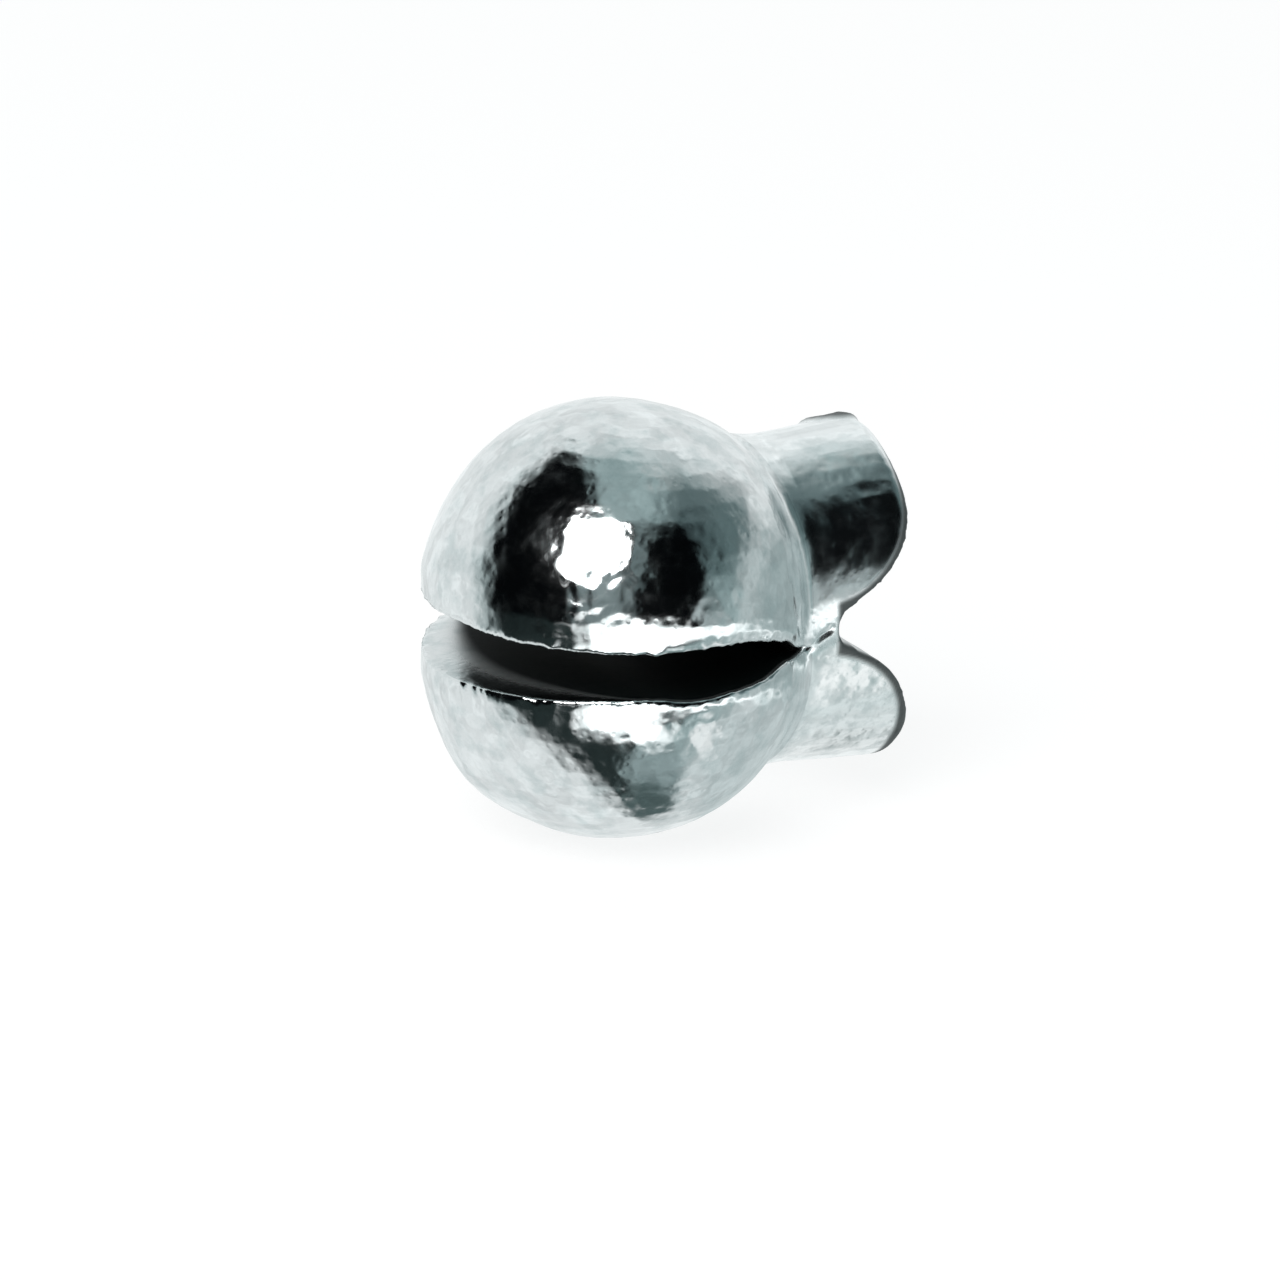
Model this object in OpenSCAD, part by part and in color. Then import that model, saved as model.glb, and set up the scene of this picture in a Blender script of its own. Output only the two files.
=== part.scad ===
// Removable split shot: a slotted ball of soft metal with two ears behind it.
// The origin is the middle of the rounded seat at the root of the slot, where
// the line lies. +X points at the ears, the line runs along Y, and +Z is up.
// Everything is in millimetres.

/* [Ball] */
// Diameter of the ball, measured along the line
ball_d = 8.2; // [6:0.1:14]
// How far each jaw runs past the middle of its half ball, toward the slot
face_drop = 0.2; // [0:0.02:0.3]
// Rounding of the lip round each jaw's face
lip_r = 0.22; // [0.2:0.02:0.5]

/* [Slot] */
// Diameter of the rounded seat at the root of the slot
seat_d = 0.34; // [0.2:0.02:0.6]
// How far the root of the slot stops short of the back of the ball
slot_stop = 0.95; // [0.4:0.05:1.6]
// Angle between the two jaws as they are cast
slot_angle = 7.5; // [3:0.5:14]

/* [Hinge] */
// Thickness of the web that bends, between the seat and the notch
web_t = 0.88; // [0.3:0.02:1.2]
// Height of the web at the seat; its sides follow the faces of the jaws
web_h = 0.7; // [0.5:0.05:0.85]

/* [Ears] */
// Height over both ears
tail_h = 7.3; // [5:0.1:12]
// Width of the ears, along the line
tail_w = 5.2; // [3:0.1:8]
// How far the ears stand out past the ball
ear_out = 1.9; // [1:0.1:4]
// Rounding of the outer edge of the ears' ends
ear_edge_r = 0.3; // [0.1:0.05:0.8]
// Radius of the round toe on the inner side of each ear
toe_r = 2.4; // [1.8:0.1:3]
// Gap between the two ears at the roots of their toes
toe_gap = 0.72; // [0.5:0.02:1]
// Diameter of the round notch behind the web
notch_d = 0.9; // [0.86:0.02:1.2]
// Angle at which each ear leans outward
ear_lean = 1.6; // [0:0.2:4]

/* [Hidden] */
ball_r = ball_d / 2;
seat_r = seat_d / 2;
notch_r = notch_d / 2;
half_angle = slot_angle / 2;
// middle of the ball, behind the seat
ball_x = ball_r - slot_stop - seat_r;
// bending line of the web
hinge_x = seat_r + web_t / 2;
// middle of the notch
notch_x = seat_r + web_t + notch_r;
// height of the web where it ends in the notch
web_end_h = web_h - 2 * notch_x * tan(half_angle);
// end of the ears
tip_x = ball_r - ball_x + ear_out;
toe_x = tip_x - toe_r;
toe_z = toe_gap / 2 + toe_r;
// overrun of every cut past what it cuts
over = ball_r;
$fn = 96;

module upper_jaw()
    color([0.62, 0.65, 0.64])
        jaw();

module lower_jaw()
    color([0.56, 0.59, 0.58])
        mirror([0, 0, 1])
            jaw();

module upper_ear()
    color([0.68, 0.71, 0.70])
        ear();

module lower_ear()
    color([0.60, 0.63, 0.62])
        mirror([0, 0, 1])
            ear();

// The thin bridge that is left between the slot and the notch, and bends
module hinge_web()
    color([0.42, 0.45, 0.44])
        intersection() {
            difference() {
                web_block();
                across(seat_r, 0);
                across(notch_r, notch_x);
            }
            union() {
                tail_rod();
                ball_at(0);
            }
        }

// Upper half of the ball: a turned half ball with a rounded lip and a flat face
module jaw()
    difference() {
        half_ball();
        web_block();
        across(notch_r, notch_x);
    }

// Upper ear: half of an oval rod that springs from the ball, with a round toe
module ear()
    difference() {
        intersection() {
            leaned() tail_rod();
            leaned() toe_plate();
        }
        ball_at(face_drop);
        web_block();
        across(notch_r, notch_x);
    }

// Puts a jaw's own frame in place: its face lies on the seat, mouth end raised
module tilted()
    rotate([0, half_angle, 0])
        translate([-ball_x, 0, seat_r])
            children();

// Leans an ear outward about the bending line
module leaned()
    translate([hinge_x, 0, 0])
        rotate([0, -ear_lean, 0])
            translate([-hinge_x, 0, 0])
                children();

module half_ball()
    tilted()
        rotate_extrude()
            jaw_profile();

// Whole ball of the upper half, to cut what meets it
module ball_at(drop)
    tilted()
        translate([0, 0, drop])
            sphere(r = ball_r);

// Half section of a jaw, with its face on the line y = 0
module jaw_profile() {
    lip_x = sqrt(pow(ball_r - lip_r, 2) - pow(lip_r - face_drop, 2));
    reach = over / (ball_r - lip_r);
    intersection() {
        translate([0, face_drop])
            circle(r = ball_r);
        polygon([
            [0, face_drop],
            [lip_x * (1 + reach), face_drop + (lip_r - face_drop) * (1 + reach)],
            [lip_x * (1 + reach), ball_r + over],
            [0, ball_r + over]
        ]);
    }
    polygon([[0, 0], [lip_x, 0], [lip_x, lip_r], [0, ball_r]]);
    translate([lip_x, lip_r])
        circle(r = lip_r);
}

// Oval rod along X whose two halves become the ears, round at its end's edge
module tail_rod()
    scale([1, tail_w / tail_h, 1])
        translate([tip_x, 0, 0])
            rotate([0, -90, 0])
                rotate_extrude()
                    rod_profile();

// Half section of the rod: its end lies on the line y = 0
module rod_profile() {
    rod_l = tip_x + ball_x;
    translate([0, ear_edge_r])
        square([tail_h / 2, rod_l - ear_edge_r]);
    square([tail_h / 2 - ear_edge_r, ear_edge_r]);
    translate([tail_h / 2 - ear_edge_r, ear_edge_r])
        circle(r = ear_edge_r);
}

// Side outline of the upper ear, drawn across the whole width of the rod:
// a round toe, the bar behind it, and a foot that stands on the web
module toe_plate()
    rotate([90, 0, 0])
        linear_extrude(height = tail_w + over, center = true) {
            translate([toe_x, toe_z])
                circle(r = toe_r);
            translate([toe_x, toe_z])
                square([toe_r, tail_h]);
            translate([-ball_x, toe_gap / 2])
                square([ball_x + toe_x, tail_h + toe_r]);
            square([notch_x, tail_h]);
        }

// Block that the web is cut from, narrower toward the notch
module web_block()
    rotate([90, 0, 0])
        linear_extrude(height = over * 2, center = true)
            polygon([
                [0, -web_h / 2],
                [notch_x, -web_end_h / 2],
                [notch_x, web_end_h / 2],
                [0, web_h / 2]
            ]);

// A round cut along the line
module across(r, x)
    translate([x, 0, 0])
        rotate([90, 0, 0])
            cylinder(r = r, h = over * 4, center = true);

upper_jaw();
upper_ear();
lower_jaw();
lower_ear();
hinge_web();
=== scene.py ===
import bpy
import bmesh
import math
import numpy as np
from mathutils import Matrix, Vector, noise
from mathutils.kdtree import KDTree


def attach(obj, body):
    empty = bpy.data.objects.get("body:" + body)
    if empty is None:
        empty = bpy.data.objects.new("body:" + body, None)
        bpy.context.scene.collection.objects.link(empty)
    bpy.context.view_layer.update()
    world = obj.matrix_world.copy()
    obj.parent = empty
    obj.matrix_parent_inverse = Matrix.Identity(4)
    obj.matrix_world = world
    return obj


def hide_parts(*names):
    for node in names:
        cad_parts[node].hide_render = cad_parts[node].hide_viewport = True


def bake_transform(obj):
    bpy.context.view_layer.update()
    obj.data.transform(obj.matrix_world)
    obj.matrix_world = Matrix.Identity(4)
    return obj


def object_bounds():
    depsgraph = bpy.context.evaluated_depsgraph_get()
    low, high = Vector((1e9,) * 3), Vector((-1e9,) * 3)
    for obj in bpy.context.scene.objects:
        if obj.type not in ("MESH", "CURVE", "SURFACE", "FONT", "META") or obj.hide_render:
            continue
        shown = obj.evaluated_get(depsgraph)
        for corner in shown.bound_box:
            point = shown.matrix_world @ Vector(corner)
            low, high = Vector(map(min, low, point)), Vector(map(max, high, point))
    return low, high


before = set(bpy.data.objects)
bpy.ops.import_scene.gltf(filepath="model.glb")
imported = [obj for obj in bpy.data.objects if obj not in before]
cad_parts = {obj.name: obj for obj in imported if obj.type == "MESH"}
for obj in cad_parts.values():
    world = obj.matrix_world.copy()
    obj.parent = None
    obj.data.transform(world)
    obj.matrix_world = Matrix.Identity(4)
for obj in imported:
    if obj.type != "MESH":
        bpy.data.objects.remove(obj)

# The shot's five solids are one casting in the real thing. So one closed skin is made over all of them,
# weathered, and split again into five closed pieces, each with the finish of its place. The camera and
# the studio come after them.
MM = 0.001
CAD_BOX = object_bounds()

# Sizes of the shot in millimetres, as its solids have them. The mesh code works in millimetres too.
BALL_R = 4.1
FACE_DROP = 0.2
SEAT_R = 0.17
SLOT_STOP = 0.95
LIP_R = 0.22
BALL_X = BALL_R - SLOT_STOP - SEAT_R
HALF_ANGLE = math.radians(3.75)
WEB_T = 0.88
WEB_HALF_H = 0.35
NOTCH_R = 0.45
NOTCH_X = SEAT_R + WEB_T + NOTCH_R
WEB_END_HALF_H = WEB_HALF_H - NOTCH_X * math.tan(HALF_ANGLE)
EAR_HALF_W = 2.6
EAR_HALF_H = 3.65
# Radius between those two, which turns a share of the oval rod into millimetres
ROD_R = 3.0
EAR_OUT = 1.9
TIP_X = BALL_R - BALL_X + EAR_OUT
TOE_R = 2.4
TOE_GAP = 0.72
TOE_X = TIP_X - TOE_R
TOE_Z = TOE_GAP / 2 + TOE_R
CAST_SOLIDS = ("upper_jaw", "upper_ear", "lower_jaw", "lower_ear", "hinge_web")

FINE_VOXEL = 0.055
VOXEL = FINE_VOXEL
# How far the cut between jaw and ear runs outside the ball, so that the ball's lumps stay on the jaw
CUT_OUTSIDE = 0.14
# How far the rounding reaches where the ears leave the ball, at the seat's ends and at the toes' edges
ROOT_REACH = 0.4
SEAT_END_REACH = 0.45
TOE_EDGE_REACH = 0.4

# How the casting is out of true, in millimetres
SLOT_DROOP = 0.3
EAR_SIDE_FLAT = 0.04
EAR_LINE_IN = 0.07
LOWER_TOE_LONGER = 0.1
LOWER_TOE_SQUARER = 0.16
# Swells of the slot's faces: height, place along X and width
UPPER_HOLLOW = (0.37, -1.75, 1.6)
LOWER_HOLLOW = (-0.16, -3.0, 0.95)
LOWER_RISE = (0.19, -0.6, 0.55)
# Swells of the upper toe: length, place along Z and width
UPPER_TOE_LONGER = (0.08, 1.7, 1.1)
UPPER_TOE_SHORTER = (-0.05, 3.5, 0.4)
# Share of the seat's height that flash closes at its two ends
SEAT_CLOSED = 0.8
# Crease on the near side of the web: depth, height of its middle and width
CREASE = (0.06, 0.05, 0.06)
# Mark where the upper ear was cut from its runner: middle and half size along X and Y, and height
TRIM_MIDDLE = (TIP_X - 0.45, 1.0)
TRIM_HALF = (0.75, 0.95)
TRIM_PROUD = 0.09

# Waves in the skin: height, size of one lump, seed and octaves. The slow one is weaker on the ears.
SLOW_WAVE = (0.035, 2.4, 1, 1)
SKIN_WAVES = ((0.009, 0.85, 2, 2), (0.004, 0.5, 6, 1), (0.0026, 0.3, 3, 2))
TRIM_WAVE = (0.03, 0.35, 5, 2)
EAR_CALM = 0.6
# Share of all this relief that is left deep in the slot
SLOT_SKIN = 0.12
# Coarse hammered zone on the near side of the upper jaw: its way from the ball's middle, its reach in
# ball radii, and its wave, which also shows in patches elsewhere
HAMMERED_WAY = (-0.54, -0.79, 0.29)
HAMMERED_REACH = 0.22
HAMMERED_WAVE = (0.015, 0.24, 9, 1)
HAMMERED_PATCH = 1.7
HAMMERED_PATCH_SEED = 8
# How much of the lips' rounding is filled up to a sharp edge, and by how much that wavers along them
LIP_FILLED = 0.75
LIP_WAVE = (0.45, 0.28, 4, 2)
LIP_WAVE_MOST = 0.36
# Where the ball is fuller than round: way from its middle, reach in ball radii, and how far it stands out
FULL_SPOTS = (
    ((-0.13, 0.40, 0.91), 0.45, 0.07),
    ((0.57, 0.0, 0.82), 0.2, 0.05),
    ((0.57, 0.0, -0.82), 0.2, 0.06),
    ((-0.73, 0.13, -0.67), 0.28, 0.14),
    ((-0.88, 0.46, 0.0), 0.4, 0.045),
)
CRATERS = 1400
CRATER_SEED = 11
CRATER_REACH = (0.09, 0.2)
CRATER_DEPTH_SHARE = (0.01, 0.035)
# How far apart in the noise two seeds lie
SEED_STEP = (7.31, 3.17, 5.71)


def jaw_centre(side):
    """Middle of the upper (side 1) or lower (side -1) half ball."""
    lift = SEAT_R + FACE_DROP
    x = -BALL_X * math.cos(HALF_ANGLE) + lift * math.sin(HALF_ANGLE)
    z = BALL_X * math.sin(HALF_ANGLE) + lift * math.cos(HALF_ANGLE)
    return Vector((x, 0.0, side * z))


# Helpers for meshes
def points_of(mesh):
    """The mesh's points, in millimetres."""
    points = np.empty(len(mesh.vertices) * 3)
    mesh.vertices.foreach_get("co", points)
    return points.reshape(-1, 3) / MM


def normals_of(mesh):
    normals = np.empty(len(mesh.vertices) * 3)
    mesh.vertices.foreach_get("normal", normals)
    return normals.reshape(-1, 3)


def edges_of(mesh):
    edges = np.empty(len(mesh.edges) * 2, dtype=np.int64)
    mesh.edges.foreach_get("vertices", edges)
    return edges.reshape(-1, 2)


def move_points(mesh, points):
    mesh.vertices.foreach_set("co", (points * MM).ravel())
    mesh.update()


def relax(points, edges, weight):
    """Each point moves towards its neighbours' mean by its weight."""
    one, other = edges.T
    count = np.bincount(edges.ravel(), minlength=len(points)).astype(float)
    total = np.empty_like(points)
    for axis in range(3):
        total[:, axis] = np.bincount(one, points[other, axis], len(points))
        total[:, axis] += np.bincount(other, points[one, axis], len(points))
    return points + weight[:, None] * (total / count[:, None] - points)


def tree_of(points):
    tree = KDTree(len(points))
    for number, point in enumerate(points):
        tree.insert(point, number)
    tree.balance()
    return tree


# Helpers that say where something is strong or weak
def smoothstep(zero, one, x):
    """Eases from 0 where x is zero to 1 where x is one, which may be the lesser of the two."""
    share = np.clip((x - zero) / (one - zero), 0, 1)
    return share * share * (3 - 2 * share)


def band(start, full, still_full, end, x):
    """1 from full to still_full, easing to 0 at start and at end."""
    return smoothstep(start, full, x) * smoothstep(end, still_full, x)


def hump(x, width):
    """Bell that is 1 at zero and has fallen to about a third at that width."""
    return np.exp(-((x / width) ** 2))


def swell(x, height, middle, width):
    return height * hump(x - middle, width)


def lumps(points, size, seed, octaves=1):
    """Soft noise from -1 to 1 at each point; size is the size of one lump."""
    shift = Vector([seed * step for step in SEED_STEP])
    out = np.empty(len(points))
    for number, point in enumerate((points / size).tolist()):
        spot = Vector(point) + shift
        out[number] = noise.noise(spot) if octaves == 1 else noise.fractal(spot, 1.0, 2.0, octaves)
    return out


def wave(points, height, size, seed, octaves):
    return height * lumps(points, size, seed, octaves)


def off_slot(x, z):
    """How far a point is outside the slot, from the face on its own side."""
    return x * math.sin(HALF_ANGLE) + np.abs(z) * math.cos(HALF_ANGLE) - SEAT_R


class Place:
    """Where points lie on the shot: how far outside its ball, slot, oval rod and round toes."""

    def __init__(self, points):
        self.x, self.y, self.z = points.T
        self.high = np.abs(self.z)
        middle = np.where(points[:, 2:] > 0, jaw_centre(1), jaw_centre(-1))
        self.ball_way = (points - middle) / BALL_R
        self.off_ball = (np.linalg.norm(self.ball_way, axis=1) - 1) * BALL_R
        self.off_face = off_slot(self.x, self.z)
        self.off_rod = (np.hypot(self.y / EAR_HALF_W, self.z / EAR_HALF_H) - 1) * ROD_R
        past = np.maximum(self.x - TOE_X, 0)
        under = np.maximum(TOE_Z - self.high, 0)
        self.off_toe = np.hypot(past, under) - TOE_R

    def toward(self, way):
        """Distance on the ball from the point that lies that way, in ball radii."""
        return np.linalg.norm(self.ball_way - np.array(way), axis=1)


# The casting
def raw_casting():
    """One closed mesh over all five solids, with even faces."""
    shape = bmesh.new()
    for name in CAST_SOLIDS:
        shape.from_mesh(bpy.data.objects[name].data)
    mesh = bpy.data.meshes.new("raw_casting")
    shape.to_mesh(mesh)
    shape.free()
    item = bpy.data.objects.new("raw_casting", mesh)
    bpy.context.scene.collection.objects.link(item)
    even = item.modifiers.new("even", "REMESH")
    even.mode = "VOXEL"
    even.voxel_size = VOXEL * MM
    return finished_mesh(item)


def finished_mesh(item):
    """The item's mesh with its modifiers applied; the item itself is removed."""
    made = bpy.data.meshes.new_from_object(item.evaluated_get(bpy.context.evaluated_depsgraph_get()))
    bpy.data.objects.remove(item)
    return made


def soften(mesh):
    """Takes out the voxels' steps, then rounds the ears' roots, the seat's ends and the toes' edges."""
    points, edges = points_of(mesh), edges_of(mesh)
    everywhere = np.ones(len(points))
    # each round draws in and then lets out a little more, which keeps the size
    for _ in range(3):
        points = relax(points, edges, 0.5 * everywhere)
        points = relax(points, edges, -0.53 * everywhere)
    at = Place(points)
    behind_mouth = smoothstep(-2.2, -0.9, at.x)
    roots = hump(at.off_ball, ROOT_REACH) * hump(at.off_rod, ROOT_REACH) * behind_mouth
    seat_ends = hump(np.hypot(at.x, at.z), SEAT_END_REACH) * smoothstep(2.1, 2.4, np.abs(at.y))
    inner_half = smoothstep(0.9, 1.5, at.x) * smoothstep(2.6, 1.4, at.high)
    toes = inner_half * hump(at.off_rod, TOE_EDGE_REACH)
    # larger faces need fewer rounds to smooth as far
    rounds = (FINE_VOXEL / VOXEL) ** 2
    for where, strength, count in ((roots, 0.7, 40), (seat_ends, 0.6, 14), (toes, 0.6, 10)):
        for _ in range(round(count * rounds)):
            points = relax(points, edges, strength * where)
    move_points(mesh, points)


# Its skin: how far each point stands out or is pushed in
def craters(points):
    """Sparse small craters."""
    pick = np.random.default_rng(CRATER_SEED)
    depth = np.zeros(len(points))
    tree = tree_of(points)
    for middle in pick.choice(len(points), CRATERS, replace=False):
        reach = pick.uniform(*CRATER_REACH)
        deep = pick.uniform(*CRATER_DEPTH_SHARE) * reach
        for _, number, off in tree.find_range(points[middle], reach):
            depth[number] = max(depth[number], deep * (1 - (off / reach) ** 2) ** 2)
    return depth


def skin_relief(points, at):
    """Slow lumps, tumbling dents, craters and the hammered zone, on all that isn't deep in the slot."""
    on_ears = smoothstep(0.1, 0.5, at.off_ball)
    push = wave(points, *SLOW_WAVE) * (1 - EAR_CALM * on_ears)
    for one in SKIN_WAVES:
        push += wave(points, *one)
    push -= craters(points)
    patches = 0.5 * smoothstep(0.1, 0.5, lumps(points, HAMMERED_PATCH, HAMMERED_PATCH_SEED))
    hammered = hump(at.toward(HAMMERED_WAY), HAMMERED_REACH) + patches
    push += np.clip(hammered, 0, 1) * wave(points, *HAMMERED_WAVE)
    clear_of_lips = smoothstep(0.1, 0.5, at.off_face)
    for way, reach, full in FULL_SPOTS:
        push += full * hump(at.toward(way), reach) * clear_of_lips
    exposed = smoothstep(0.0, 0.16, at.off_face) + smoothstep(-0.35, -0.1, at.off_ball)
    return push * np.clip(exposed, SLOT_SKIN, 1)


def ragged_lips(points, at):
    """Makes the rounded lips sharper, by more in some places than in others."""
    down = np.maximum(LIP_R - at.off_face, 0)
    outward = np.maximum(at.off_ball + LIP_R, 0)
    longer = np.maximum(np.maximum(down, outward), 1e-6)
    to_sharp_edge = LIP_R * (np.hypot(down, outward) / longer - 1)
    on_lips = (np.minimum(down, outward) > 0) * smoothstep(0.25, 0.05, at.x)
    filled = LIP_FILLED + np.clip(wave(points, *LIP_WAVE), -LIP_WAVE_MOST, LIP_WAVE_MOST)
    return to_sharp_edge * on_lips * filled


def web_crease(at):
    """Fold in the metal on the near side of the web."""
    return band(0.45, 0.6, 0.8, 0.95, at.x) * swell(at.z, *CREASE) * (at.y < 0)


def trim_mark(at):
    """Where the upper ear was cut from its runner: high on its far side, at the end."""
    off = np.hypot((at.x - TRIM_MIDDLE[0]) / TRIM_HALF[0], (at.y - TRIM_MIDDLE[1]) / TRIM_HALF[1])
    return smoothstep(1.05, 0.75, off) * smoothstep(2.5, 3.0, at.z)


# Its form: how far each point is out of true
def slot_sag(x, z):
    """The cast slot droops below the middle toward its root."""
    toward_root = band(-4.2, -0.2, 0.2, 1.0, x)
    return -SLOT_DROOP * toward_root * hump(z, 1.3)


def slot_swells(x, z):
    """Both faces are hollow in the middle, and the lower one is raised near its root."""
    near_slot = smoothstep(1.2, 0.1, off_slot(x, z)) * smoothstep(0.1, -0.6, x)
    upper = swell(x, *UPPER_HOLLOW)
    lower = swell(x, *LOWER_HOLLOW) + swell(x, *LOWER_RISE)
    return near_slot * np.where(z > 0, upper, lower)


def with_true_slot(points):
    """The points as they were before the slot drooped and its faces swelled, near enough for masks."""
    points = points.copy()
    for out_of_true in (slot_sag, slot_swells):
        points[:, 2] -= out_of_true(points[:, 0], points[:, 2])
    return points


def ear_sides(at):
    """High up on their sides the ears are flatter than an oval."""
    high_up = band(0.6, 2.4, 2.9, 3.6, at.high) * smoothstep(0.05, 0.9, at.off_ball)
    return -EAR_SIDE_FLAT * high_up * np.clip(at.y / 0.6, -1, 1)


def ear_outer_lines(at):
    """The outer lines of the ears draw in toward the ball."""
    near_ball = smoothstep(2.4, 0.6, at.x) * smoothstep(0.05, 0.5, at.off_ball)
    return -EAR_LINE_IN * near_ball * smoothstep(2.4, 3.2, at.high) * np.sign(at.z)


def toe_lengths(at):
    """The toes ran to unequal lengths, the lower one further and squarer."""
    upper = swell(at.z, *UPPER_TOE_LONGER) + swell(at.z, *UPPER_TOE_SHORTER)
    lower = LOWER_TOE_LONGER * smoothstep(0, -0.8, at.z)
    lower += LOWER_TOE_SQUARER * smoothstep(-1.8, -3.0, at.z)
    return (upper + lower) * smoothstep(0.9, 2.6, at.x)


def seat_pinch(at):
    """Share by which flash has closed the seat, at its two ends."""
    at_ends = band(-0.55, -0.1, 0.3, 0.6, at.x) * smoothstep(2.2, 2.6, np.abs(at.y))
    return SEAT_CLOSED * at_ends * hump(at.z, SEAT_END_REACH)


def weather(mesh):
    """Gives the casting its skin, then puts the whole of it out of true."""
    points = points_of(mesh)
    at = Place(points)
    push = skin_relief(points, at) + ragged_lips(points, at) - web_crease(at)
    push += trim_mark(at) * (TRIM_PROUD + wave(points, *TRIM_WAVE))
    points = points + normals_of(mesh) * push[:, None]
    points[:, 0] += toe_lengths(at)
    points[:, 1] += ear_sides(at)
    points[:, 2] += ear_outer_lines(at)
    points[:, 2] *= 1 - seat_pinch(at)
    points[:, 2] += slot_sag(at.x, at.z) + slot_swells(at.x, at.z)
    move_points(mesh, points)


# Splitting it into its five pieces
def loose_item(name, shape):
    """An item made of a shape that was built in millimetres."""
    bmesh.ops.scale(shape, verts=shape.verts, vec=(MM, MM, MM))
    mesh = bpy.data.meshes.new(name)
    shape.to_mesh(mesh)
    shape.free()
    item = bpy.data.objects.new(name, mesh)
    bpy.context.scene.collection.objects.link(item)
    return item


def web_block():
    """Block that holds the web, narrower toward the notch."""
    shape = bmesh.new()
    bmesh.ops.create_cube(shape, size=1)
    for corner in shape.verts:
        x, half_h = (NOTCH_X, WEB_END_HALF_H) if corner.co.x > 0 else (0, WEB_HALF_H)
        corner.co = (x, corner.co.y * 2 * BALL_R, corner.co.z * 2 * half_h)
    return loose_item("web_block", shape)


def round_block(side):
    """Ball a little larger than the upper (side 1) or lower (side -1) half ball."""
    shape = bmesh.new()
    bmesh.ops.create_uvsphere(shape, u_segments=96, v_segments=64, radius=BALL_R + CUT_OUTSIDE)
    bmesh.ops.translate(shape, verts=shape.verts, vec=jaw_centre(side))
    return loose_item("round_block", shape)


def cut(mesh, cutter, keep_inside):
    item = bpy.data.objects.new("being_cut", mesh)
    bpy.context.scene.collection.objects.link(item)
    saw = item.modifiers.new("saw", "BOOLEAN")
    saw.operation = "INTERSECT" if keep_inside else "DIFFERENCE"
    saw.solver = "MANIFOLD"
    saw.object = cutter
    return finished_mesh(item)


def half_of(mesh, side):
    """The loose part of the mesh above (side 1) or below (side -1) the slot."""
    shape = bmesh.new()
    shape.from_mesh(mesh)
    wanted = {max(shape.verts, key=lambda point: point.co.z * side)}
    front = list(wanted)
    while front:
        around = {edge.other_vert(point) for point in front for edge in point.link_edges} - wanted
        wanted |= around
        front = list(around)
    rest = [point for point in shape.verts if point not in wanted]
    bmesh.ops.delete(shape, geom=rest, context="VERTS")
    made = bpy.data.meshes.new("half")
    shape.to_mesh(made)
    shape.free()
    return made


def split(casting):
    """The casting's five pieces, each closed, by the name of the solid it stands for."""
    middle = web_block()
    made = {"hinge_web": cut(casting, middle, True)}
    halves = cut(casting, middle, False)
    bpy.data.objects.remove(middle)
    for half, side in (("upper", 1), ("lower", -1)):
        one = half_of(halves, side)
        ball = round_block(side)
        made[half + "_jaw"] = cut(one, ball, True)
        made[half + "_ear"] = cut(one, ball, False)
        bpy.data.objects.remove(ball)
    return made


def keep_shading(mesh, tree, normals):
    """The skin keeps the whole casting's normals, so no seam shows where it was split."""
    mesh.polygons.foreach_set("use_smooth", np.ones(len(mesh.polygons), bool))
    corner = np.empty(len(mesh.loops), np.int64)
    mesh.loops.foreach_get("vertex_index", corner)
    face = np.repeat(np.arange(len(mesh.polygons)), [one.loop_total for one in mesh.polygons])
    flat = np.empty(len(mesh.polygons) * 3)
    mesh.polygons.foreach_get("normal", flat)
    flat = flat.reshape(-1, 3)[face]
    nearest = np.array([tree.find(point.co / MM)[1] for point in mesh.vertices])
    smooth = normals[nearest][corner]
    # a corner whose face looks another way lies on a cut, and stays flat
    on_skin = np.einsum("ij,ij->i", smooth, flat) > 0.6
    mesh.normals_split_custom_set(np.where(on_skin[:, None], smooth, flat).tolist())


def mark_surface(mesh):
    """Masks for the finishes: painted shade in the slot, and a darker trim mark with painted dark
    reflection on the toes.
    """
    at = Place(with_true_slot(points_of(mesh)))
    inside = np.clip(-at.off_ball, 0, None)
    at_mouth = smoothstep(-4.2, -6.3, at.x)
    from_lips = smoothstep(0, 1, (inside - 0.3 * at_mouth) / (0.15 + 1.1 * at_mouth))
    # painted shade: the slot's faces behind the lips, and its seat, are darkened as if in shadow
    faces = smoothstep(0.1, 0.03, at.off_face) * from_lips
    seat = smoothstep(0.3, 0.22, np.hypot(at.x, at.z)) * smoothstep(-0.05, -0.3, at.off_rod)
    # painted dark reflection along the toes' ends, strongest at their edges; the trim mark is darkened too
    toe_ends = smoothstep(-0.26, -0.12, at.off_toe) * smoothstep(0.95, 1.1, at.x)
    painted_toe_reflection = (0.4 + 0.45 * hump(at.off_rod, 0.3)) * toe_ends
    masks = {"slot_shade": np.maximum(faces, seat), "dark_trim_and_toes": np.maximum(0.85 * trim_mark(at), painted_toe_reflection)}
    for name, value in masks.items():
        mask = mesh.attributes.new(name, "FLOAT", "POINT")
        mask.data.foreach_set("value", value.astype(np.float32))


# Helpers for finishes and the studio
def node(tree, kind, inputs=(), **settings):
    """A shader node with its settings, and its inputs set or linked by name or number."""
    made = tree.nodes.new("ShaderNode" + kind)
    for name, value in settings.items():
        setattr(made, name, value)
    for name, value in dict(inputs).items():
        if isinstance(value, bpy.types.NodeSocket):
            tree.links.new(value, made.inputs[name])
        else:
            made.inputs[name].default_value = value
    return made


def math_node(tree, operation, *values):
    return node(tree, "Math", enumerate(values), operation=operation).outputs[0]


def vector_node(tree, operation, inputs):
    return node(tree, "VectorMath", inputs, operation=operation).outputs


def mix_values(tree, share, a, b):
    return node(tree, "Mix", {"Factor": share, "A": a, "B": b}).outputs["Result"]


def mix_colours(tree, share, a, b, label=""):
    inputs = {"Factor": share, "A": a, "B": b}
    return node(tree, "Mix", inputs, data_type="RGBA", label=label).outputs["Result"]


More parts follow.
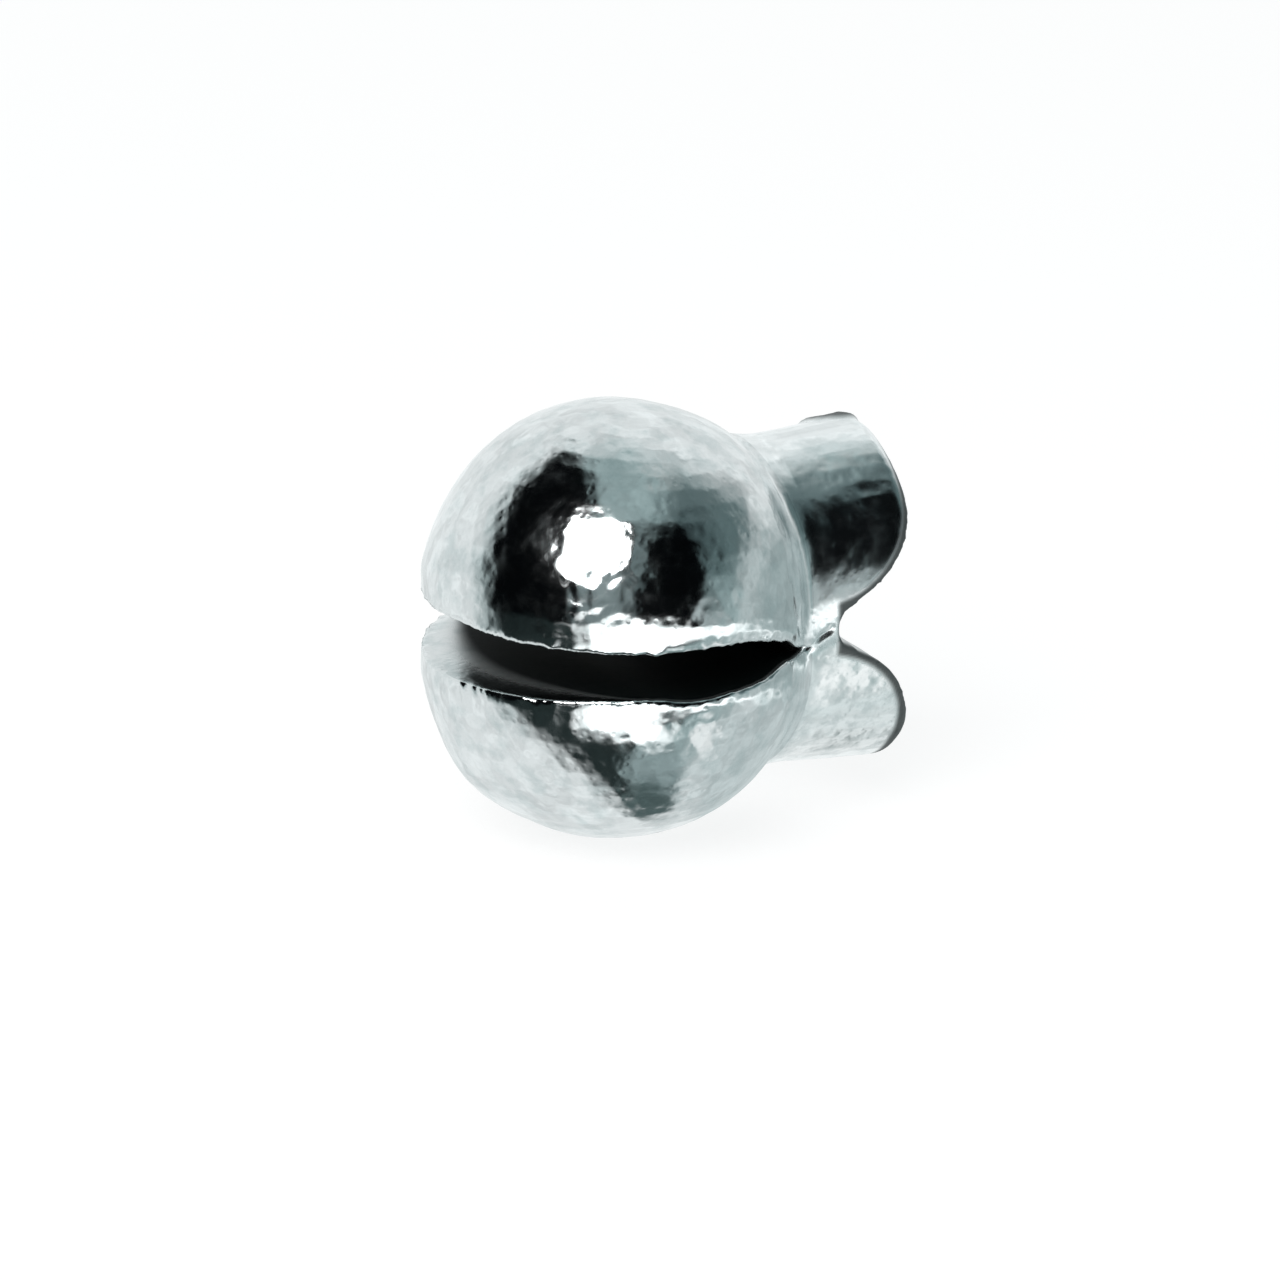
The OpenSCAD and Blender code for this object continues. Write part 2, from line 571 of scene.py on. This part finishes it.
def ramp(tree, value, start, end, low=0.0, high=1.0, kind="LINEAR"):
    """Turns a value between start and end into one between low and high."""
    inputs = {"Value": value, "From Min": start, "From Max": end, "To Min": low, "To Max": high}
    return node(tree, "MapRange", inputs, interpolation_type=kind).outputs[0]


def effect(name, inputs, outputs):
    """An empty node group; gives it with the sockets that bring its inputs and take its outputs."""
    group = bpy.data.node_groups.new(name, "ShaderNodeTree")
    for socket, kind, value in inputs:
        made = group.interface.new_socket(name=socket, in_out="INPUT", socket_type="NodeSocket" + kind)
        made.default_value = value
    for socket, kind in outputs:
        group.interface.new_socket(name=socket, in_out="OUTPUT", socket_type="NodeSocket" + kind)
    return group, group.nodes.new("NodeGroupInput").outputs, group.nodes.new("NodeGroupOutput").inputs


def in_patches(tree, size):
    """The piece's own coordinates, with one unit for each patch of that size in millimetres."""
    own = node(tree, "TexCoord").outputs["Object"]
    share = math_node(tree, "DIVIDE", 1 / MM, size)
    return vector_node(tree, "SCALE", {0: own, "Scale": share})[0]


# Effects that all finishes share
def oxide_mottle():
    """Cloudy patches of duller oxide over the bright metal."""
    inputs = [
        ("Metal Colour", "Color", (0.75, 0.78, 0.77, 1)),
        ("Oxide Colour", "Color", (0.5, 0.55, 0.54, 1)),
        ("Patch Size", "Float", 0.5),
        ("Oxide Amount", "Float", 0.5),
    ]
    group, given, out = effect("oxide_mottle", inputs, [("Colour", "Color"), ("Oxide", "Float")])
    patches = in_patches(group, given["Patch Size"])
    cloud = node(group, "TexNoise", {"Vector": patches, "Scale": 1.0, "Detail": 4.0, "Roughness": 0.6})
    clouded = ramp(group, cloud.outputs[0], 0.42, 0.72, kind="SMOOTHSTEP")
    oxide = math_node(group, "MULTIPLY", clouded, given["Oxide Amount"])
    colour = mix_colours(group, oxide, given["Metal Colour"], given["Oxide Colour"])
    group.links.new(colour, out["Colour"])
    group.links.new(oxide, out["Oxide"])
    return group


def tumbling_marks():
    """Height of the fine dents and pits that shots knock into each other in the barrel."""
    inputs = [("Dent Size", "Float", 0.4), ("Pit Size", "Float", 0.16), ("Pit Share", "Float", 0.25)]
    group, given, out = effect("tumbling_marks", inputs, [("Height", "Float")])
    dents = in_patches(group, given["Dent Size"])
    dent = node(group, "TexNoise", {"Vector": dents, "Scale": 1.0, "Detail": 2.0})
    pits = in_patches(group, given["Pit Size"])
    cell = node(group, "TexVoronoi", {"Vector": pits, "Scale": 1.0}, feature="SMOOTH_F1")
    pit = ramp(group, cell.outputs["Distance"], 0.1, 0.45, kind="SMOOTHSTEP")
    group.links.new(mix_values(group, given["Pit Share"], dent.outputs[0], pit), out["Height"])
    return group


def painted_shade():
    """Darkens and dulls where the mask is: painted shade in the slot, painted dark reflection on the toes,
    the trim mark.
    """
    inputs = [
        ("Colour", "Color", (0.7, 0.7, 0.7, 1)),
        ("Roughness", "Float", 0.2),
        # painted shade: the near-black colour laid where the mask is
        ("Shade Colour", "Color", (0.007, 0.012, 0.012, 1)),
        ("Shade Roughness", "Float", 0.7),
        ("Mask", "Float", 0.0),
    ]
    group, given, out = effect("painted_shade", inputs, [("Colour", "Color"), ("Roughness", "Float")])
    colour = mix_colours(group, given["Mask"], given["Colour"], given["Shade Colour"])
    rough = mix_values(group, given["Mask"], given["Roughness"], given["Shade Roughness"])
    group.links.new(colour, out["Colour"])
    group.links.new(rough, out["Roughness"])
    return group


MOTTLE, MARKS, PAINTED_SHADE = oxide_mottle(), tumbling_marks(), painted_shade()

# Finishes
BRIGHT = (0.76, 0.79, 0.795, 1)
# Lighter copies of the jaws' tin for the ears, though all is one metal: painted light for brighter
# reflections
UPPER_EAR_LIT_TIN = (0.88, 0.91, 0.915, 1)
LOWER_EAR_LIT_TIN = (0.92, 0.945, 0.945, 1)
CLOUDED = (0.55, 0.62, 0.625, 1)


def cast_tin(name, metal, patch, oxide, shine, dull, dent, bump):
    """Bright tin as cast and tumbled; patch and dent sizes and the bump's height are in millimetres."""
    material = bpy.data.materials.new(name)
    material.use_nodes = True
    tree = material.node_tree
    mottle = node(tree, "Group", node_tree=MOTTLE)
    mottle.inputs["Metal Colour"].default_value = metal
    mottle.inputs["Oxide Colour"].default_value = CLOUDED
    mottle.inputs["Patch Size"].default_value = patch
    mottle.inputs["Oxide Amount"].default_value = oxide
    marks = node(tree, "Group", node_tree=MARKS)
    marks.inputs["Dent Size"].default_value = dent
    # the two masks say where shade and dark reflection are painted, and where the trim mark is darkened
    slot_shade = node(tree, "Attribute", attribute_name="slot_shade").outputs["Fac"]
    dark_trim_and_toes = node(tree, "Attribute", attribute_name="dark_trim_and_toes").outputs["Fac"]
    shade_mix = node(tree, "Group", node_tree=PAINTED_SHADE)
    tree.links.new(mottle.outputs["Colour"], shade_mix.inputs["Colour"])
    tree.links.new(ramp(tree, mottle.outputs["Oxide"], 0.0, oxide, shine, dull), shade_mix.inputs["Roughness"])
    tree.links.new(math_node(tree, "MAXIMUM", slot_shade, dark_trim_and_toes), shade_mix.inputs["Mask"])
    relief = node(tree, "Bump", {"Height": marks.outputs["Height"], "Distance": bump * MM, "Strength": 1.0})
    surface = tree.nodes["Principled BSDF"]
    tree.links.new(shade_mix.outputs["Colour"], surface.inputs["Base Color"])
    tree.links.new(shade_mix.outputs["Roughness"], surface.inputs["Roughness"])
    tree.links.new(relief.outputs[0], surface.inputs["Normal"])
    surface.inputs["Metallic"].default_value = 1.0
    return material


JAW_TIN = cast_tin("jaw_tin", BRIGHT, patch=0.55, oxide=0.7, shine=0.09, dull=0.17, dent=0.4, bump=0.004)
FINISHES = {
    "upper_jaw": JAW_TIN,
    "lower_jaw": JAW_TIN,
    "upper_ear": cast_tin("upper_ear_tin", UPPER_EAR_LIT_TIN, patch=0.45, oxide=0.3,
                          shine=0.13, dull=0.2, dent=0.4, bump=0.003),
    "lower_ear": cast_tin("lower_ear_tin", LOWER_EAR_LIT_TIN, patch=0.35, oxide=0.45,
                          shine=0.13, dull=0.22, dent=0.35, bump=0.005),
    "hinge_web": cast_tin("web_tin", BRIGHT, patch=0.3, oxide=0.9,
                          shine=0.18, dull=0.32, dent=0.3, bump=0.008),
}


# Making and placing the pieces
def place(solid, mesh):
    """Puts a piece in the stead of its solid, in the solid's finish."""
    mesh.materials.clear()
    mesh.materials.append(FINISHES[solid])
    piece = bpy.data.objects.new(solid + "_casting", mesh)
    bpy.context.scene.collection.objects.link(piece)
    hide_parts(solid)
    return piece


def make_pieces():
    casting = raw_casting()
    soften(casting)
    weather(casting)
    tree, normals = tree_of(points_of(casting)), normals_of(casting)
    for solid, mesh in split(casting).items():
        keep_shading(mesh, tree, normals)
        mark_surface(mesh)
        piece = place(solid, mesh)
        if solid == "hinge_web":
            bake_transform(piece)
        else:
            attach(piece, solid.split("_")[0] + "_half")


make_pieces()

# Camera: the way it looks, its distance in metres, and where the photograph has the ball's middle
AZIMUTH, ELEVATION, ROLL = math.radians(-27), math.radians(18), math.radians(-1)
RIGHT = Vector((math.cos(AZIMUTH), math.sin(AZIMUTH), 0))
BACK = Vector((math.sin(AZIMUTH) * math.cos(ELEVATION), -math.cos(AZIMUTH) * math.cos(ELEVATION),
               math.sin(ELEVATION)))
UP = BACK.cross(RIGHT)
CAMERA_DISTANCE = 0.30
SENSOR_MM = 36
FRAME_PX = 1280
BALL_R_PX = 194.5
BALL_MIDDLE_PX = (615, 618.5)
BALL_MIDDLE = Vector((-2.95 * MM, 0, 0))
PX_PER_M = BALL_R_PX / (BALL_R * MM)


def make_camera():
    lens = bpy.data.cameras.new("camera")
    camera = bpy.data.objects.new("camera", lens)
    bpy.context.scene.collection.objects.link(camera)
    turn = Matrix((RIGHT, UP, BACK)).transposed() @ Matrix.Rotation(-ROLL, 3, "Z")
    across = (FRAME_PX / 2 - BALL_MIDDLE_PX[0]) / PX_PER_M
    upward = (BALL_MIDDLE_PX[1] - FRAME_PX / 2) / PX_PER_M
    eye = BALL_MIDDLE + turn.col[0] * across + turn.col[1] * upward + BACK * CAMERA_DISTANCE
    camera.matrix_world = Matrix.Translation(eye) @ turn.to_4x4()
    lens.sensor_width = SENSOR_MM
    lens.lens = SENSOR_MM * CAMERA_DISTANCE * PX_PER_M / FRAME_PX
    lens.clip_start = 0.01
    lens.clip_end = 10
    bpy.context.scene.camera = camera


make_camera()

# Studio: each part of the room, where a polished ball in the object's place shows it. Middle across and
# up in ball radii, half width, half height, turn in degrees, softness of its edge, colour. Later ones
# cover earlier ones, and the tent is all round them.
TENT = (0.93, 0.962, 0.965)
DARK = (0.001, 0.0015, 0.002)
ROOM = (
    ("right_wall_end", 0.88, 0.0, 0.17, 0.42, 0, 0.5, (0.40, 0.48, 0.485)),
    ("right_wall", 0.0, 0.0, 0.70, 0.74, 0, 0.14, (0.35, 0.45, 0.455)),
    ("right_wall_glow", 0.27, 0.60, 0.07, 0.07, 0, 0.7, (0.50, 0.56, 0.56)),
    ("right_wall_streak", 0.30, 0.69, 0.17, 0.04, -4, 0.7, (0.62, 0.68, 0.685)),
    ("right_wall_dim", 0.53, 0.31, 0.17, 0.25, 0, 0.6, (0.13, 0.19, 0.195)),
    ("right_wall_dim_top", 0.37, 0.49, 0.13, 0.09, -20, 0.7, (0.14, 0.195, 0.20)),
    ("far_right_floor", 0.85, -0.72, 0.46, 0.46, 0, 0.25, (0.62, 0.69, 0.695)),
    ("dark_room", -0.07, -0.06, 0.58, 0.43, 0, 0.14, DARK),
    ("dark_room_left", -0.38, 0.22, 0.25, 0.50, -18, 0.12, DARK),
    ("dark_room_shade", 0.39, 0.29, 0.12, 0.16, 0, 0.9, (0.06, 0.09, 0.095)),
    ("dark_room_right", 0.32, 0.125, 0.18, 0.25, 0, 0.25, DARK),
    ("low_right_wall", 0.50, -0.11, 0.09, 0.08, 0, 0.5, (0.42, 0.48, 0.485)),
    ("lamp_stand", -0.06, -0.05, 0.13, 0.22, 0, 0.5, (0.22, 0.27, 0.275)),
    ("lamp_side", 0.115, 0.18, 0.03, 0.16, 0, 0.6, (0.16, 0.21, 0.215)),
    ("floor_shadow", -0.16, -0.50, 0.52, 0.17, -40, 0.25, (0.02, 0.03, 0.03)),
    ("floor_right", 0.20, -0.66, 0.15, 0.20, 10, 0.3, (0.30, 0.38, 0.385)),
    ("floor_right_dim", 0.17, -0.80, 0.14, 0.09, 0, 0.5, (0.09, 0.13, 0.13)),
    ("floor_left", -1.9, -2.4, 2.46, 2.46, 0, 0.025, (0.92, 0.952, 0.955)),
    ("lip_light", 0.30, -0.215, 0.46, 0.05, 0, 0.4, (1.8, 1.85, 1.85)),
    ("lip_light_front", 0.11, -0.25, 0.25, 0.10, 0, 0.3, (2.0, 2.05, 2.05)),
    ("floor_front", 0.05, -0.40, 0.24, 0.09, -12, 0.4, (2.0, 2.05, 2.05)),
    ("ear_glint", 0.475, -0.47, 0.055, 0.11, 0, 0.4, (1.06, 1.09, 1.09)),
)
# How far the edges of the room's parts wander, in ball radii
STRAY = 0.12
# Levels of the dimmest and the brightest patches in the room
PATCH_LEVELS = (0.78, 1.14)


def spot_on_ball(tree, way):
    """Point of a polished ball, across and up in ball radii, that shows the camera this way of the room."""
    along = [vector_node(tree, "DOT_PRODUCT", {0: way, 1: axis})["Value"] for axis in (RIGHT, UP, BACK)]
    # a thousandth more than 2 keeps the root above zero straight behind the ball
    reach = math_node(tree, "SQRT", math_node(tree, "MULTIPLY_ADD", along[2], 2.0, 2.001))
    spot = node(tree, "CombineXYZ", {"X": math_node(tree, "DIVIDE", along[0], reach),
                                     "Y": math_node(tree, "DIVIDE", along[1], reach)})
    return spot.outputs[0]


def make_world():
    world = bpy.data.worlds.new("studio")
    bpy.context.scene.world = world
    world.use_nodes = True
    tree = world.node_tree
    tree.nodes.clear()
    way = node(tree, "TexCoord").outputs["Generated"]
    stray = node(tree, "TexNoise", {"Vector": way, "Scale": 3.0, "Detail": 6.0, "Roughness": 0.65})
    spot = spot_on_ball(tree, way)
    spot = vector_node(tree, "MULTIPLY_ADD", {0: stray.outputs["Color"], 1: (STRAY, STRAY, 0), 2: spot})[0]
    spot = vector_node(tree, "SUBTRACT", {0: spot, 1: (STRAY / 2, STRAY / 2, 0)})[0]
    seen = (*TENT, 1)
    for name, across, up, half_w, half_h, turn, soft, colour in ROOM:
        outline = {"Vector": spot, "Location": (across, up, 0), "Rotation": (0, 0, math.radians(turn)),
                   "Scale": (half_w, half_h, 1)}
        moved = node(tree, "Mapping", outline, vector_type="TEXTURE")
        off = vector_node(tree, "LENGTH", {0: moved.outputs[0]})["Value"]
        inside = ramp(tree, off, 1 + soft, 1 - soft, kind="SMOOTHSTEP")
        seen = mix_colours(tree, inside, seen, (*colour, 1), label=name)
    patchy = node(tree, "TexNoise", {"Vector": way, "Scale": 7.0, "Detail": 4.0})
    level = ramp(tree, patchy.outputs[0], 0.3, 0.7, *PATCH_LEVELS)
    seen = vector_node(tree, "SCALE", {0: seen, "Scale": level})[0]
    to_camera = node(tree, "LightPath").outputs["Is Camera Ray"]
    light = node(tree, "Background", {"Color": mix_colours(tree, to_camera, seen, (1, 1, 1, 1))})
    out = node(tree, "OutputWorld")
    tree.links.new(light.outputs[0], out.inputs[0])


def way_into_room(across, up):
    """What a polished ball shows the camera at that point, given in ball radii."""
    facing = RIGHT * across + UP * up + BACK * math.sqrt(1 - across * across - up * up)
    return 2 * facing.dot(BACK) * facing - BACK


def key_lamp(across, up, distance, radius, brightness):
    """Round lamp whose highlight lies at that point of the ball."""
    light = bpy.data.lights.new("key_lamp", "AREA")
    light.shape = "DISK"
    light.size = 2 * radius
    light.energy = brightness * math.pi * math.pi * radius * radius
    lamp = bpy.data.objects.new("key_lamp", light)
    way = way_into_room(across, up)
    lamp.location = BALL_MIDDLE + way * distance
    lamp.rotation_euler = way.to_track_quat("Z", "Y").to_euler()
    lamp.visible_camera = False
    bpy.context.scene.collection.objects.link(lamp)


def pale_floor():
    """White to the camera where nothing shades it; the shot's shadow falls on it."""
    bpy.ops.mesh.primitive_plane_add(size=2, location=(0, 0, CAD_BOX[0][2]))
    floor = bpy.context.object
    floor.name = "pale_floor"
    material = bpy.data.materials.new("pale_floor")
    material.use_nodes = True
    surface = material.node_tree.nodes["Principled BSDF"]
    surface.inputs["Base Color"].default_value = (0.3, 0.3, 0.3, 1)
    surface.inputs["Roughness"].default_value = 1.0
    surface.inputs["Specular IOR Level"].default_value = 0.0
    surface.inputs["Emission Color"].default_value = (1, 1, 1, 1)
    surface.inputs["Emission Strength"].default_value = 0.8
    floor.data.materials.append(material)
    floor.visible_glossy = False
    floor.visible_shadow = False


make_world()
key_lamp(across=-0.125, up=0.225, distance=0.25, radius=0.1, brightness=4.5)
pale_floor()

bpy.context.scene.view_settings.view_transform = "Standard"
